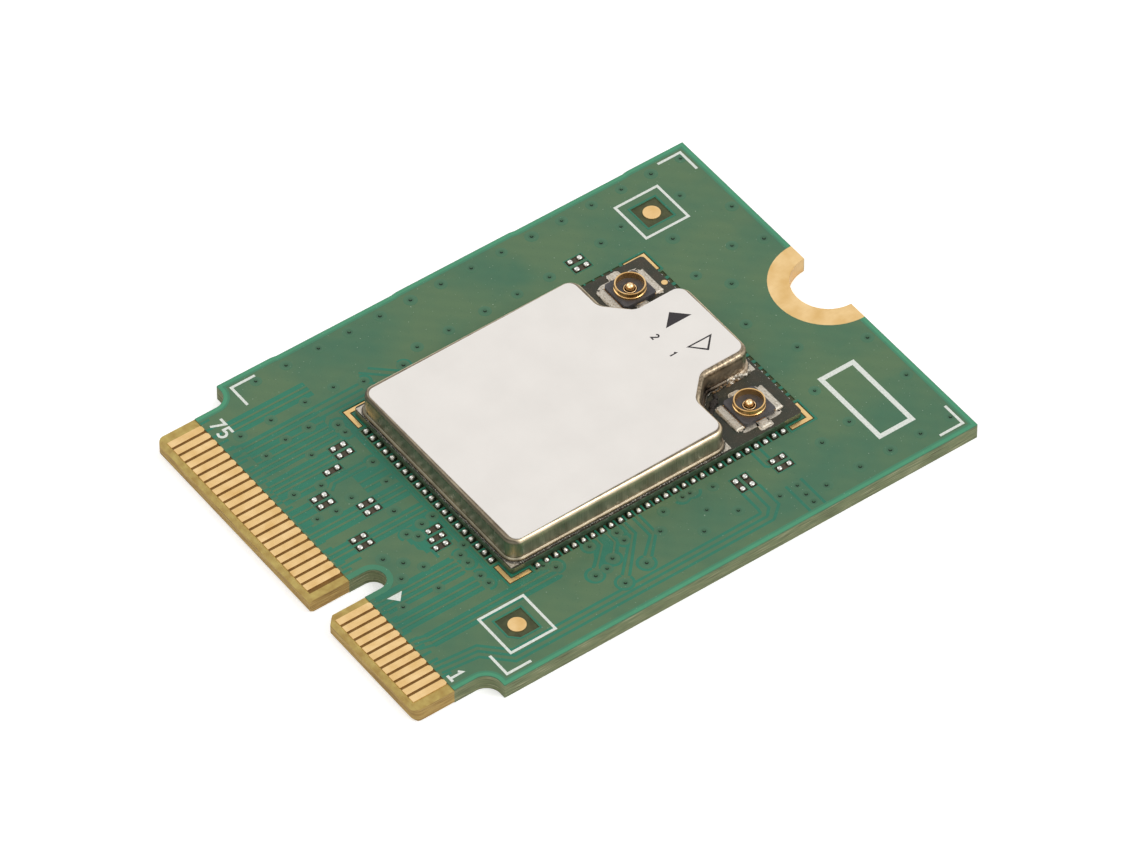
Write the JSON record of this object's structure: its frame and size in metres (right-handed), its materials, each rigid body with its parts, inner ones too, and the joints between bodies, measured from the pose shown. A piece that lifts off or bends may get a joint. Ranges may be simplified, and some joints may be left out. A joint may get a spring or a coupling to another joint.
{
  "type": "wireless network card",
  "caption": "Small plug-in wireless card: green carrier board with a keyed edge connector and a screw notch, and a shielded radio module with antenna ports.",
  "frame": {"origin": "on the underside, at the middle of the card's 22 by 30 mm outline", "axes": "+X across the edge connector towards contact 1, +Y from the edge connector to the screw notch, +Z out of the component side"},
  "size_m": [0.022, 0.03, 0.0025],
  "materials": {
    "board_laminate": "glass-fibre laminate, cut edge",
    "mask_green": "semi-gloss green coat",
    "contact_gold": "gold plating, satin",
    "solder": "bright solder",
    "print_white": "white print",
    "module_laminate": "dark green-black coat",
    "shield_metal": "drawn nickel silver, satin",
    "label_film": "white printed film",
    "port_moulding": "black moulded resin",
    "chip_resin": "black moulded package",
    "ceramic": "fired ceramic body",
    "crystal_cap": "plated metal lid"
  },
  "bodies": {
    "root": {"carrier_board": "board_laminate", "solder_mask": "mask_green", "screw_seat": "contact_gold", "edge_contacts_top": "contact_gold", "edge_contacts_bottom": "contact_gold", "fiducial_discs": "contact_gold", "printed_marks": "print_white", "module_corner_marks": "contact_gold", "footprint_solder": "solder", "module_solder_joints": "solder", "module_ground_joints": "solder", "module_board": "module_laminate", "pin_one_dot": "contact_gold", "shield_seat": "solder", "shield_can": "shield_metal", "shield_label": "label_film", "left_port_shell": "contact_gold", "left_port_pin": "contact_gold", "left_port_insulator": "port_moulding", "left_port_solder": "solder", "right_port_shell": "contact_gold", "right_port_pin": "contact_gold", "right_port_insulator": "port_moulding", "right_port_solder": "solder", "radio_chip": "chip_resin", "front_end_chips": "chip_resin", "reference_crystal": "crystal_cap", "memory_chip": "chip_resin", "power_inductors": "ceramic", "module_capacitors": "ceramic", "band_filters": "ceramic"}
  },
  "joints": []
}
